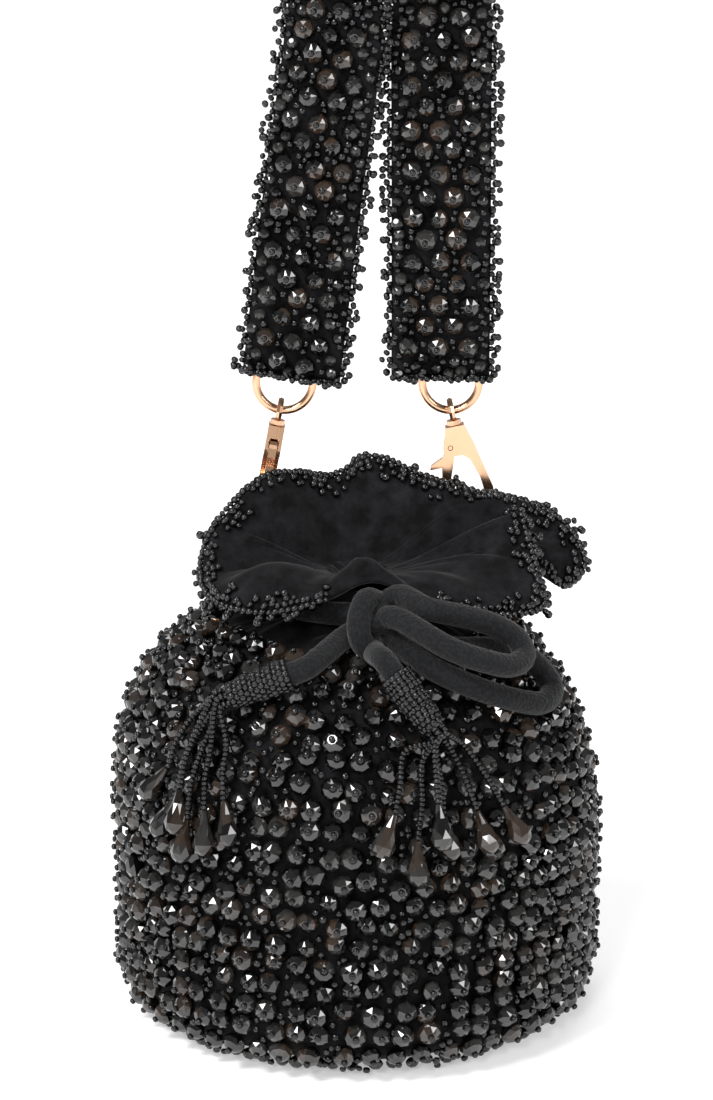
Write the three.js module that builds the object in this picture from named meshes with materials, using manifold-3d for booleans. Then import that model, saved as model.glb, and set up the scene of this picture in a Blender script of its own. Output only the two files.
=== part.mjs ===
// A drawstring pouch with sewn-on glass beads and a clip-on beaded strap.
import * as THREE from 'three';
import Module from 'manifold-3d';

const wasm = await Module();
wasm.setup();

// Driving dimensions, mm
const GAP = 0.3;              // clearance between pieces that touch
const BAG_RADIUS = 70;        // cloth wall without beads
const CORNER = 14;            // rounding of the base edge
const SIDE_HEIGHT = 78;       // top of the straight side
const SIDE_DROP = 16;         // how far the right shoulder slumps
const NECK_RADIUS = 22.5;     // gathered neck, outside
const NECK_HEIGHT = 125.5;    // where the shoulder meets the neck
const NECK_RISE = 11.5;       // height of the neck
const FLUTE = 2;              // depth of the gathers
const CLOTH = 2;              // thickness of the cloth wall
const BASE_THICK = 2.5;
const BOARD_THICK = 2;
const BEAD_HEIGHT = 2.7;      // relief of the beadwork
const BEAD_SKIN = 2;
const COLUMNS = 28;           // facets round the bag
const BEAD_ROWS = 16;
const COLLAR_CLOTH = 2;
const THROAT = 10;            // clear radius drawn in by the cord, mid-cloth
const CORD = 7;               // drawstring diameter
const STRAND = 2;             // tassel strand diameter
const CAP_LENGTH = 19;
const DROP_LENGTH = 13.5;
const DROP_RADIUS = 3.4;
const LINK_Y = 24;            // plane of the clips, behind the collar
const D_RADIUS = 11;          // D-ring, to the wire's middle
const D_WIRE = 2.5;
const D_RISE = 6.5;           // D-ring bars and handle hinge above the neck's top
const RING_RADIUS = 8.7;
const RING_WIRE = 2.6;
const RING_X = [-22.2, 29];
const EYE_TURN = [-10, 2];    // where the eye sits round each ring, degrees
const HOOK_REACH = 28.4;      // catch point to swivel eye
const HOOK_LEAN = 10.42;      // left hook from upright, degrees
const HOOK_THICK = 5;
const STRAP_WIDTH = 30;
const STRAP_CLOTH = 2;
const STRAP_BEAD = 3;
const ARCH_RADIUS = 17;       // turn at the top of the strap
const STRAP_STEPS = 44;

const FLOOR_Z = BASE_THICK + GAP;
const NECK_TOP = NECK_HEIGHT + NECK_RISE;
const LIFT_TOP = GAP + BEAD_SKIN + BEAD_HEIGHT;
const D_HEIGHT = NECK_TOP + D_RISE;
const CORD_LIFT = LIFT_TOP + CORD / 2 + 0.8;
const V3 = THREE.Vector3;
const rad = THREE.MathUtils.degToRad;
const mix = THREE.MathUtils.lerp;
const RING_Z = D_HEIGHT + D_RADIUS + HOOK_REACH * Math.cos(rad(HOOK_LEAN))
  + RING_RADIUS * Math.cos(rad(EYE_TURN[0]));

const paint = (color, roughness, metalness = 0) =>
  new THREE.MeshStandardMaterial({ color, roughness, metalness });
const VELVET = paint(0x15151a, 0.9);
const CORD_CLOTH = paint(0x2b2c30, 0.95);
const GLASS = paint(0x17161a, 0.15);
const BOARD = paint(0x6b5a45, 0.9);
const GOLD = paint(0xd9b08c, 0.25, 1);

const group = new THREE.Group();
group.name = 'potli_bag';

function put(name, geometry, material) {
  const mesh = new THREE.Mesh(geometry, material);
  mesh.name = name;
  group.add(mesh);
}

// Boolean helpers
function solid(geometry) {
  const pos = geometry.attributes.position;
  const count = pos.count;
  const index = geometry.index ? geometry.index.array : Array.from({ length: count }, (_, i) => i);
  const mesh = new wasm.Mesh({
    numProp: 3,
    vertProperties: new Float32Array(pos.array),
    triVerts: new Uint32Array(index),
  });
  mesh.merge();
  return new wasm.Manifold(mesh);
}

function plain(manifold) {
  const mesh = manifold.getMesh();
  const geometry = new THREE.BufferGeometry();
  geometry.setAttribute('position', new THREE.BufferAttribute(mesh.vertProperties, 3));
  geometry.setIndex(new THREE.BufferAttribute(mesh.triVerts, 1));
  return geometry;
}

const join = (...list) => plain(list.map(solid).reduce((a, b) => a.add(b)));
const cut = (base, ...list) => plain(list.map(solid).reduce((a, b) => a.subtract(b), solid(base)));

// Closed surface through rings of points: poles close the ends, or the rings wrap round
function ringed(rings, { start, end, split } = {}) {
  const points = [];
  const faces = [];
  const at = [];
  for (const ring of rings) {
    at.push(points.length);
    points.push(...ring);
  }
  const wraps = !start;
  for (let i = 0; i < rings.length - (wraps ? 0 : 1); i++) {
    const k = (i + 1) % rings.length;
    stitch(faces, at[i], rings[i].length, at[k], rings[k].length, split && split(i));
  }
  if (!wraps) {
    fan(faces, at[0], rings[0].length, points.push(start) - 1, true);
    const last = rings.length - 1;
    fan(faces, at[last], rings[last].length, points.push(end) - 1, false);
  }
  return outward(mesh(points, faces));
}

function stitch(faces, a, na, b, nb, odd) {
  const big = Math.max(na, nb);
  for (let j = 0; j < big; j++) {
    const k = (j + 1) % big;
    const [a0, a1] = [a + Math.floor(j * na / big), a + Math.floor(k * na / big)];
    const [b0, b1] = [b + Math.floor(j * nb / big), b + Math.floor(k * nb / big)];
    if (a0 === a1) faces.push(a0, b1, b0);
    else if (b0 === b1) faces.push(a0, a1, b0);
    else if (odd !== undefined && (j + odd) % 2 === 0) faces.push(a0, a1, b0, a1, b1, b0);
    else faces.push(a0, a1, b1, a0, b1, b0);
  }
}

function fan(faces, ring, n, pole, flip) {
  for (let j = 0; j < n; j++) {
    const k = (j + 1) % n;
    faces.push(...(flip ? [pole, ring + k, ring + j] : [pole, ring + j, ring + k]));
  }
}

function mesh(points, faces) {
  const geometry = new THREE.BufferGeometry().setFromPoints(points);
  geometry.setIndex(faces);
  return geometry;
}

function outward(geometry) {
  const pos = geometry.attributes.position;
  const index = geometry.index.array;
  const [a, b, c] = [new V3(), new V3(), new V3()];
  let volume = 0;
  for (let i = 0; i < index.length; i += 3) {
    a.fromBufferAttribute(pos, index[i]);
    b.fromBufferAttribute(pos, index[i + 1]);
    c.fromBufferAttribute(pos, index[i + 2]);
    volume += a.dot(b.cross(c));
  }
  if (volume < 0) {
    for (let i = 0; i < index.length; i += 3) {
      [index[i], index[i + 1]] = [index[i + 1], index[i]];
    }
  }
  return geometry;
}

const around = (n, point) => Array.from({ length: n }, (_, j) => point(j / n * 2 * Math.PI, j));

// Pouch surface: angle from the front, v from the base edge (0) to the neck's top (4)
function pouch(angle, v, lift = 0) {
  const top = SIDE_HEIGHT - SIDE_DROP * ((1 + Math.sin(angle)) / 2) ** 2;
  const shoulder = BAG_RADIUS - NECK_RADIUS;
  const a = (v % 1) * Math.PI / 2;
  let [r, z, out, up] = [BAG_RADIUS, 0, 1, 0];
  if (v < 1) {
    r = BAG_RADIUS - CORNER + CORNER * Math.sin(a);
    z = FLOOR_Z + CORNER * (1 - Math.cos(a));
    [out, up] = [Math.sin(a), -Math.cos(a)];
  } else if (v < 2) {
    z = mix(FLOOR_Z + CORNER, top, v - 1);
  } else if (v < 3) {
    const rise = NECK_HEIGHT - top;
    r = NECK_RADIUS + shoulder * Math.cos(a);
    z = top + rise * Math.sin(a) + FLUTE * (v - 2) ** 4 * Math.cos(COLUMNS / 4 * angle);
    const size = Math.hypot(rise * Math.cos(a), shoulder * Math.sin(a));
    [out, up] = [rise * Math.cos(a) / size, shoulder * Math.sin(a) / size];
  } else {
    r = NECK_RADIUS;
    z = mix(NECK_HEIGHT + FLUTE * Math.cos(COLUMNS / 4 * angle), NECK_TOP, v - 3);
  }
  const wide = r + lift * out;
  return new V3(wide * Math.sin(angle), -wide * Math.cos(angle), z + lift * up);
}

const WALL_ROWS = [0, 0.5, 1, 2, 2.25, 2.5, 2.75, 2.999];
const BEAD_FROM = 0.36;
const BEAD_TO = 2.72;

function bodyWall() {
  const ring = (lift) => (v) => around(COLUMNS, (a) => pouch(a, v, lift));
  const rows = [...WALL_ROWS, 4];
  const inside = (v) => (v < 2.9 ? ring(-CLOTH)(v)
    : around(COLUMNS, (a) => {
      const p = pouch(a, v === 4 ? 4 : 2.999);
      const s = 1 - CLOTH / NECK_RADIUS;
      return new V3(p.x * s, p.y * s, v === 4 ? p.z : p.z - CLOTH);
    }));
  return ringed([...rows.map(ring(0)), ...rows.reverse().map(inside)], {
    start: new V3(0, 0, FLOOR_Z), end: new V3(0, 0, FLOOR_Z + CLOTH),
  });
}

function bodyBeadwork() {
  const inner = [BEAD_FROM, 0.5, 1, 2, 2.25, 2.5, BEAD_TO];
  const rings = [];
  for (let i = 0; i <= BEAD_ROWS; i++) {
    const v = beadRow(i / BEAD_ROWS);
    const edge = i === 0 || i === BEAD_ROWS;
    rings.push(around(2 * COLUMNS, (a, j) =>
      pouch(a, v, GAP + BEAD_SKIN + (edge || (i + j) % 2 ? 0 : BEAD_HEIGHT))));
  }
  rings.push(...inner.reverse().map((v) => around(COLUMNS, (a) => pouch(a, v, GAP))));
  return ringed(rings, { split: (i) => (i < BEAD_ROWS ? i : undefined) });
}

// Even steps along the profile from the first bead row to the last
function beadRow(t) {
  const lengths = [CORNER * Math.PI / 2, SIDE_HEIGHT - CORNER, (BAG_RADIUS - NECK_RADIUS) * Math.PI / 2];
  const along = (v) => lengths.reduce((sum, l, i) => sum + l * THREE.MathUtils.clamp(v - i, 0, 1), 0);
  let s = mix(along(BEAD_FROM), along(BEAD_TO), t);
  for (let i = 0; i < 3; i++) {
    if (s <= lengths[i]) return i + s / lengths[i];
    s -= lengths[i];
  }
  return 3;
}

function disc(radius, bottom, thick) {
  const points = [[0, bottom], [radius, bottom], [radius, bottom + thick], [0, bottom + thick]];
  const geometry = new THREE.LatheGeometry(points.map(([x, y]) => new THREE.Vector2(x, y)), COLUMNS);
  return geometry.rotateX(Math.PI / 2);
}

// Collar: rim as angle from the front, then x, y and height above the neck's top
const RIM = [
  [0, 5, -26, 4], [25, 22, -33, -1], [45, 41, -32, -4], [60, 55, -24, -3], [72, 52, -14, 9],
  [80, 49, -6, 20], [88, 55, -3, 5], [96, 63, 0, -4], [104, 69, 5, 2], [114, 62, 12, 13],
  [126, 47, 14, 20], [142, 34, 13, 22], [160, 19, 20, 25], [180, 5, 25, 29.5], [200, -8, 22, 24],
  [222, -18, 16, 26.5], [244, -28, 8, 27], [258, -38, 2, 20], [270, -45, -4, 10], [284, -46, -14, 1],
  [300, -38, -29, -2], [318, -24, -34, -2.5], [340, -8, -31, 0.5],
];
const rimCurve = new THREE.CatmullRomCurve3(
  RIM.map(([, x, y, z]) => new V3(x, y, NECK_TOP + z)), true, 'centripetal');
const FOLDS = 14;
const FOLD_DEPTH = 1.1;

function collarPoint(p, t) {
  const at = p * RIM.length;
  const i = Math.floor(at) % RIM.length;
  const next = i + 1 < RIM.length ? RIM[i + 1][0] : 360;
  const angle = rad(mix(RIM[i][0], next, at - Math.floor(at)));
  const rim = rimCurve.getPoint(p % 1);
  const foot = new V3(THROAT * Math.sin(angle), -THROAT * Math.cos(angle), NECK_TOP + 0.5);
  const middle = foot.clone().lerp(rim, 0.55);
  middle.z = NECK_TOP + 3.3 + 0.22 * Math.max(0, rim.z - NECK_TOP);
  const point = foot.multiplyScalar((1 - t) ** 2).addScaledVector(middle, 2 * t * (1 - t));
  point.addScaledVector(rim, t * t);
  const turn = 2 * Math.PI * p;
  const folds = 1.6 + Math.cos(7 * turn + 1.2 * Math.sin(2 * turn)) + 0.6 * Math.cos(11 * turn + 2);
  const ripple = 1.6 * t * (1 + Math.cos(FOLDS * turn));
  point.z += Math.sin(Math.PI * t) * (ripple + FOLD_DEPTH * Math.sqrt(t) * folds);
  return point;
}

function collarFace(p, t, lift) {
  const e = 0.004;
  const along = collarPoint(p + e, t).sub(collarPoint(p - e + 1, t));
  const out = collarPoint(p, Math.min(1, t + e)).sub(collarPoint(p, Math.max(0, t - e)));
  return collarPoint(p, t).addScaledVector(along.cross(out).normalize(), lift);
}

function collar() {
  const rows = [0, 0.2, 0.45, 0.72, 1];
  const n = 4 * FOLDS;
  const face = (lift) => (t) => around(n, (a, j) => collarFace(j / n, t, lift));
  return ringed([...rows.map(face(COLLAR_CLOTH / 2)), ...rows.reverse().map(face(-COLLAR_CLOTH / 2))]);
}

function collarBeads() {
  const n = 4 * FOLDS;
  const rings = around(n, (a, j) => {
    const p = j / n;
    const rim = collarPoint(p, 1);
    const out = rim.clone().sub(collarPoint(p, 0.97)).normalize();
    const along = collarPoint(p + 0.004, 1).sub(collarPoint(p - 0.004 + 1, 1)).normalize();
    const side = along.clone().cross(out).normalize();
    const size = j % 2 ? 1.2 : 2.1;
    return around(5, (b) => rim.clone().addScaledVector(out, 3.05 + size * Math.cos(b))
      .addScaledVector(side, size * Math.sin(b)));
  });
  return ringed(rings);
}

// Drawstring
const KNOT = new V3(5.4, -(NECK_RADIUS + CORD + GAP + 7.6), NECK_TOP - 5);

function round(diameter, sides = 8) {
  const points = around(sides, (a) =>
    new THREE.Vector2(Math.cos(a) * diameter / 2, Math.sin(a) * diameter / 2));
  return new THREE.Shape(points);
}

function tube(points, diameter, steps, sides = 8) {
  const path = new THREE.CatmullRomCurve3(points, false, 'centripetal');
  return new THREE.ExtrudeGeometry(round(diameter, sides), { steps, extrudePath: path });
}

const lay = (list) => list.map(([angle, v, lift]) => pouch(rad(angle), v, lift));
const nearKnot = (x, y, z) => KNOT.clone().add(new V3(x, y, z));

function neckCord() {
  const geometry = new THREE.TorusGeometry(NECK_RADIUS + GAP + CORD / 2, CORD / 2, 8, COLUMNS);
  return geometry.translate(0, 0, NECK_TOP - CORD / 2 - 2.2);
}

function knot() {
  const core = new THREE.SphereGeometry(1, 8, 6).scale(6.6, 6.4, 7.8);
  const wrap = new THREE.TorusGeometry(5.4, 2.7, 5, 9).rotateX(rad(78)).rotateY(rad(18));
  return join(core, wrap).translate(KNOT.x, KNOT.y, KNOT.z);
}

const innerLoop = () => tube([
  nearKnot(6.5, 0.6, 7.9), ...lay([[24.3, 2.74, 20.5], [33.7, 2.71, 19.5], [43, 2.66, 19],
    [47.9, 2.6, 19], [46.7, 2.55, 19], [41, 2.53, 19.5], [34, 2.55, 20], [25.3, 2.6, 20]]),
  nearKnot(5.3, -7, 3.6),
], CORD, 18);

const outerLoop = () => tube([
  nearKnot(6.3, -4.8, -4.8), ...lay([[22, 2.6, 10.8], [32, 2.53, 10], [42.5, 2.47, 9.8],
    [54.3, 2.43, 9.8], [61.5, 2.46, 9.8], [60, 2.55, 10.2], [48, 2.63, 9.8], [32, 2.68, 9.6]]),
  nearKnot(9.5, 2, -1.1),
], CORD, 20);

const CAP_LEFT = [pouch(rad(-19), 2.56, CORD_LIFT + 1), pouch(rad(-32), 2.46, CORD_LIFT + 1)];
const CAP_RIGHT = [pouch(rad(10.5), 2.56, CORD_LIFT + 3.5), pouch(rad(16.8), 2.44, CORD_LIFT + 1.5)];

function capAxis([from, to]) {
  const way = to.clone().sub(from).normalize();
  return { from, way, end: from.clone().addScaledVector(way, CAP_LENGTH) };
}

function tail(points, cap) {
  const { from, way } = capAxis(cap);
  const stop = from.clone().addScaledVector(way, -GAP);
  return tube([...points, from.clone().addScaledVector(way, -5), stop], CORD, 5);
}

function capSolid(cap) {
  const { from, way } = capAxis(cap);
  const profile = [[0, 0], [3.9, 0], [4.6, 1.6], [4, 3.2], [4.6, 5], [3.9, 7], [4.3, 9], [3.5, 11.5],
    [3.9, 14], [3.3, 16.5], [3.6, CAP_LENGTH], [0, CAP_LENGTH]];
  const geometry = new THREE.LatheGeometry(profile.map(([x, y]) => new THREE.Vector2(x, y)), 8);
  return aim(geometry, from, way);
}

// Turns +Y of a lathe to a direction and moves it to a point
function aim(geometry, from, way) {
  geometry.applyQuaternion(new THREE.Quaternion().setFromUnitVectors(new V3(0, 1, 0), way));
  return geometry.translate(from.x, from.y, from.z);
}

// Tassel strands: waypoints on the pouch, the last one is where the drop ends
const REST = LIFT_TOP + STRAND / 2 + 0.6;
const LEFT_STRANDS = [
  [[-44, 2.37], [-47, 2.26], [-47.4, 2.17], [-53.5, 2.03]],
  [[-41, 2.3], [-43, 2.19], [-44.3, 2.07], [-48.5, 1.89]],
  [[-38.2, 2.28], [-39.6, 2.15], [-40, 2.02], [-41, 1.8]],
  [[-35.9, 2.28, 0.5], [-36, 2.17], [-35.4, 2.07], [-34.2, 1.87]],
  [[-32.2, 2.3], [-31.6, 2.2], [-30.6, 2.12], [-27.5, 1.95]],
  [[-37.2, 2.31, 7], [-38, 2.21, 7.6], [-38, 2.14, 7.6], [-37.6, 1.99, 7.6]],
];
const RIGHT_STRANDS = [
  [[11.6, 2.34], [9.8, 2.23], [8.6, 2.15], [4.6, 2]],
  [[15.6, 2.31], [14.6, 2.18], [13.4, 2.07], [13, 1.86]],
  [[19.2, 2.32], [19.6, 2.23], [19.4, 2.15], [20.6, 2.01]],
  [[23.2, 2.34], [25.6, 2.245], [27.4, 2.16], [29.8, 2.03]],
  [[26.6, 2.355], [31, 2.255], [34.4, 2.165], [38.6, 2.05]],
  [[17.6, 2.35, 7], [16.6, 2.25, 7.6], [16.6, 2.19, 7.6], [16.8, 2.05, 7.6]],
];
const FEET = [[150, 210, 270, 30, 330, 90], [210, 150, 270, 330, 30, 90]];

function strandPoints(cap, way, index) {
  const { way: axis, end } = capAxis(cap);
  const side = new V3(0, 0, 1).cross(axis).normalize();
  const up = axis.clone().cross(side).normalize();
  const a = rad(FEET[axis.x < 0 ? 0 : 1][index]);
  const foot = end.clone().addScaledVector(axis, GAP);
  foot.addScaledVector(side, 2.4 * Math.cos(a)).addScaledVector(up, 2.4 * Math.sin(a));
  const lead = foot.clone().addScaledVector(axis, 2.5);
  const rest = way.slice(0, 3).map(([angle, v, extra = 0]) => pouch(rad(angle), v, REST + extra));
  return [foot, lead, ...rest];
}

function dropSolid(way, points) {
  const [angle, v, extra = 0] = way[3];
  const stop = pouch(rad(angle), v, LIFT_TOP + DROP_RADIUS + 0.6 + extra);
  const top = points[points.length - 1];
  const line = stop.sub(top).normalize();
  const profile = [[0, 0], [1, 0], [2.6, 0.5 * DROP_LENGTH], [DROP_RADIUS, 0.74 * DROP_LENGTH],
    [2, 0.95 * DROP_LENGTH], [0, DROP_LENGTH]];
  const geometry = new THREE.LatheGeometry(profile.map(([x, y]) => new THREE.Vector2(x, y)), 6);
  return aim(geometry, top.clone().addScaledVector(line, GAP + 0.5), line);
}

function tassel(side, cap, ways) {
  put(`tassel_cap_${side}`, capSolid(cap), GLASS);
  ways.forEach((way, i) => {
    const points = strandPoints(cap, way, i);
    put(`strand_${side}_${i + 1}`, tube(points, STRAND, 4), GLASS);
    put(`drop_${side}_${i + 1}`, dropSolid(way, points), GLASS);
  });
}

// Clips: local u across, v up from the catch point, plane normal along the local depth
function hookPlaces() {
  return RING_X.map((x, i) => {
    const turn = rad(EYE_TURN[i]);
    const eye = new V3(x + RING_RADIUS * Math.sin(turn), LINK_Y, RING_Z - RING_RADIUS * Math.cos(turn));
    const lean = Math.acos((eye.z - D_HEIGHT - D_RADIUS) / HOOK_REACH);
    const catchX = eye.x + (i ? 1 : -1) * HOOK_REACH * Math.sin(lean);
    return { eye, lean: i ? -lean : lean, at: new V3(catchX, LINK_Y, D_HEIGHT + D_RADIUS), face: !i };
  });
}
const PLACES = hookPlaces();

// Moves a piece drawn in the XZ plane about the catch point into its place
function seat(geometry, { at, lean, face }) {
  if (face) geometry.rotateZ(Math.PI / 2);
  return geometry.rotateY(lean).translate(at.x, at.y, at.z);
}

function plate(shape, thick) {
  const geometry = new THREE.ExtrudeGeometry(shape, { depth: thick, bevelEnabled: false, curveSegments: 6 });
  return geometry.translate(0, 0, -thick / 2).rotateX(Math.PI / 2);
}

const PIVOT = [-2.6, 17.2];
const JAW = 5;
const BODY_TOP = HOOK_REACH - 4.8;
const NOSE = 12.1;

function arcPoints(cx, cy, r, from, to, n) {
  return Array.from({ length: n + 1 }, (_, i) => {
    const a = rad(mix(from, to, i / n));
    return new THREE.Vector2(cx + r * Math.cos(a), cy + r * Math.sin(a));
  });
}

function hookBody() {
  const middle = JAW - D_WIRE / 2 - 1.3;
  const points = [
    [-2.9, BODY_TOP], [-4.9, 16.4], [-4.6, 14.6], [0.8, 14.2], [2.6, 12.5], [JAW - 0.4, 6.5],
  ].map(([x, y]) => new THREE.Vector2(x, y));
  points.push(...arcPoints(0, middle, JAW, 0, -172, 8));
  points.push(...arcPoints(PIVOT[0], PIVOT[1], NOSE, -101, -113, 3));
  points.push(...arcPoints(0, middle, JAW + 3, -180, 0, 10));
  points.push(...[[6.7, 8], [4.9, 16.4], [2.9, BODY_TOP]].map(([x, y]) => new THREE.Vector2(x, y)));
  const slot = new THREE.BoxGeometry(8, 3.1, 6.6).translate(PIVOT[0] - 1.6, 0, PIVOT[1] - 0.6);
  const bore = new THREE.CylinderGeometry(1.5, 1.5, 8, 8).rotateX(Math.PI / 2).translate(0, 0, BODY_TOP);
  const pin = new THREE.CylinderGeometry(0.9, 0.9, 9, 8).translate(PIVOT[0], 0, PIVOT[1]);
  return cut(plate(new THREE.Shape(points), HOOK_THICK), slot, bore, pin);
}

function gate() {
  const [u, v] = PIVOT;
  const points = [
    ...arcPoints(u, v, 2, -20, 190, 6),
    ...[[-5.6, 14.2], [-9.6, 12.4], [-10.2, 11.2], [-6.4, 11.2]].map(([x, y]) => new THREE.Vector2(x, y)),
    ...arcPoints(u, v, NOSE - GAP - 0.1, -113.5, -101, 3),
    new THREE.Vector2(-1.9, 14),
  ];
  const hole = new THREE.CylinderGeometry(1.1, 1.1, 9, 8).translate(u, 0, v);
  return cut(plate(new THREE.Shape(points), 2.4), hole);
}

const gatePin = () =>
  new THREE.CylinderGeometry(0.62, 0.62, HOOK_THICK, 8).translate(PIVOT[0], 0, PIVOT[1]);

function swivelEye(place) {
  const loop = new THREE.TorusGeometry(3, 1, 6, 12).rotateX(Math.PI / 2).translate(0, 0, HOOK_REACH);
  const stem = new THREE.CylinderGeometry(1.15, 1.15, 4.4, 8).rotateX(Math.PI / 2)
    .translate(0, 0, BODY_TOP - 1.2);
  const collarRing = new THREE.CylinderGeometry(2.3, 2.3, 1.4, 8).rotateX(Math.PI / 2)
    .translate(0, 0, BODY_TOP + GAP + 0.7);
  return seat(join(loop.rotateZ(Math.PI / 2), stem, collarRing), { ...place, face: false });
}

function strapRing(x) {
  const ring = new THREE.TorusGeometry(RING_RADIUS, RING_WIRE / 2, 6, 16).rotateX(Math.PI / 2);
  return ring.translate(x, LINK_Y, RING_Z);
}

function dRing({ at, face }) {
  const arc = Array.from({ length: 9 }, (_, i) => {
    const a = Math.PI * i / 8;
    return new V3(D_RADIUS * Math.cos(a), 0, D_RADIUS * Math.sin(a));
  });
  const bow = tube(arc, D_WIRE, 8, 6);
  const bar = new THREE.CylinderGeometry(D_WIRE / 2, D_WIRE / 2, 2 * D_RADIUS + D_WIRE * 0.9, 6);
  const ring = join(bow, bar.rotateZ(Math.PI / 2));
  if (!face) ring.rotateZ(Math.PI / 2);
  return ring.translate(at.x, LINK_Y, D_HEIGHT);
}

// Cloth loop sewn to the shoulder and folded round a D-ring bar
function bagTab({ at, face }) {
  const inner = D_WIRE / 2 + 0.35;
  const outer = inner + 1.5;
  const angle = Math.atan2(at.x, -LINK_Y);
  const size = Math.hypot(at.x, LINK_Y);
  const v = 2 + Math.acos((size - NECK_RADIUS) / (BAG_RADIUS - NECK_RADIUS)) * 2 / Math.PI;
  const foot = pouch(angle, v).z + FLUTE + 2 - D_HEIGHT;
  const shape = new THREE.Shape([...arcPoints(0, 0, outer, 0, 180, 6),
    new THREE.Vector2(-outer, foot), new THREE.Vector2(outer, foot)]);
  shape.holes.push(new THREE.Path(arcPoints(0, 0, inner, 180, -135, 7).slice(0, 8)));
  const tab = plate(shape, 9);
  if (face) tab.rotateZ(Math.PI / 2);
  return tab.translate(at.x, LINK_Y, D_HEIGHT);
}

// Strap: middle line and the way its beaded face looks
const STRAP_Y = LINK_Y - RING_WIRE / 2 - 2.4 - STRAP_CLOTH / 2;
const STRAP_FOOT = RING_Z + 3;
const ARCH_Z = STRAP_FOOT + 164;
const ARCH_X = RING_X[1] - 2 - ARCH_RADIUS;

function strapLine() {
  const legs = [
    [-20, 0, [-0.1, -1]], [-13.2, 56, [-0.14, -1]], [-6.7, 105, [-0.3, -1]], [-6.2, 128, [-0.7, -0.7]],
  ];
  const right = [
    [26, 128, [0.7, -0.7]], [25.4, 105, [0.05, -1]], [25.6, 56, [-0.1, -1]], [25.7, 0, [-0.1, -1]],
  ];
  const arch = [0, 30, 60, 90, 120, 150, 180].map((d) => {
    const [c, s] = [Math.cos(rad(180 - d)), Math.sin(rad(d))];
    return { at: new V3(ARCH_X + ARCH_RADIUS * c, STRAP_Y, ARCH_Z + ARCH_RADIUS * s), face: new V3(c, 0, s) };
  });
  const leg = ([x, z, [fx, fy]]) => ({ at: new V3(x, STRAP_Y, STRAP_FOOT + z), face: new V3(fx, fy, 0) });
  return [...legs.map(leg), ...arch, ...right.map(leg)];
}

function strapFrames(count) {
  const line = strapLine();
  const path = new THREE.CatmullRomCurve3(line.map((p) => p.at), false, 'centripetal');
  const last = line.length - 1;
  return Array.from({ length: count + 1 }, (_, i) => {
    const u = path.getUtoTmapping(i / count);
    const k = Math.min(last - 1, Math.floor(u * last));
    const way = path.getTangent(u);
    const face = line[k].face.clone().lerp(line[k + 1].face, u * last - k);
    face.addScaledVector(way, -face.dot(way)).normalize();
    return { at: path.getPoint(u), face, across: way.clone().cross(face) };
  });
}

const spot = ({ at, face, across }, u, w) => at.clone().addScaledVector(across, u).addScaledVector(face, w);

function band(frames, section) {
  const rings = frames.map((f, i) => section(i).map(([u, w]) => spot(f, u, w)));
  const centre = (ring) => ring.reduce((s, p) => s.add(p), new V3()).divideScalar(ring.length);
  return { rings, start: centre(rings[0]), end: centre(rings[rings.length - 1]) };
}

function strapBand() {
  const [h, c] = [STRAP_WIDTH / 2, STRAP_CLOTH / 2];
  const { rings, start, end } = band(strapFrames(STRAP_STEPS), () => [[-h, -c], [h, -c], [h, c], [-h, c]]);
  return ringed(rings, { start, end, split: (i) => i });
}

function strapBeadwork() {
  const h = STRAP_WIDTH / 2 - 0.5;
  const low = STRAP_CLOTH / 2 + GAP + 0.35;
  const section = (i) => {
    const front = [-1, -0.5, 0, 0.5, 1].map((u, j) => {
      const up = j % 4 && i % STRAP_STEPS && (i + j) % 2;
      return [u * h, low + 0.8 + (up ? STRAP_BEAD : 0)];
    });
    return [...front, [h, low], [-h, low]];
  };
  const { rings, start, end } = band(strapFrames(STRAP_STEPS), section);
  return ringed(rings, { start, end, split: (i) => i + 1 });
}

// Loop on the strap's back that holds a ring
function strapTab(x) {
  const inner = RING_WIRE / 2 + 0.8;
  const outer = inner + 1.2;
  const back = STRAP_Y + STRAP_CLOTH / 2 + 1 - LINK_Y;
  const shape = new THREE.Shape([...arcPoints(0, 0, outer, 200, 340, 8),
    new THREE.Vector2(outer, 3), new THREE.Vector2(back + 2, 9),
    new THREE.Vector2(back + 2, 22), new THREE.Vector2(back, 22), new THREE.Vector2(back, 0)]);
  shape.holes.push(new THREE.Path(arcPoints(0, 0, inner, 180, -135, 7).slice(0, 8)));
  const tab = plate(shape, 5).rotateZ(Math.PI / 2);
  return tab.translate(x, LINK_Y, RING_Z + RING_RADIUS);
}

put('base_panel', disc(BAG_RADIUS - CORNER - 1, 0, BASE_THICK), VELVET);
put('body_wall', bodyWall(), VELVET);
put('body_beadwork', bodyBeadwork(), GLASS);
put('base_board', disc(BAG_RADIUS - CORNER - 2, FLOOR_Z + CLOTH + GAP, BOARD_THICK), BOARD);
put('collar', collar(), VELVET);
put('collar_beads', collarBeads(), GLASS);
put('neck_cord', neckCord(), CORD_CLOTH);
put('knot', knot(), CORD_CLOTH);
put('bow_loop_inner', innerLoop(), CORD_CLOTH);
put('bow_loop_outer', outerLoop(), CORD_CLOTH);
put('tail_left', tail([nearKnot(-8.4, -4.5, -3)], CAP_LEFT), CORD_CLOTH);
put('tail_right', tail([nearKnot(-0.5, -7.4, -6)], CAP_RIGHT), CORD_CLOTH);
tassel('left', CAP_LEFT, LEFT_STRANDS);
tassel('right', CAP_RIGHT, RIGHT_STRANDS);
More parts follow.
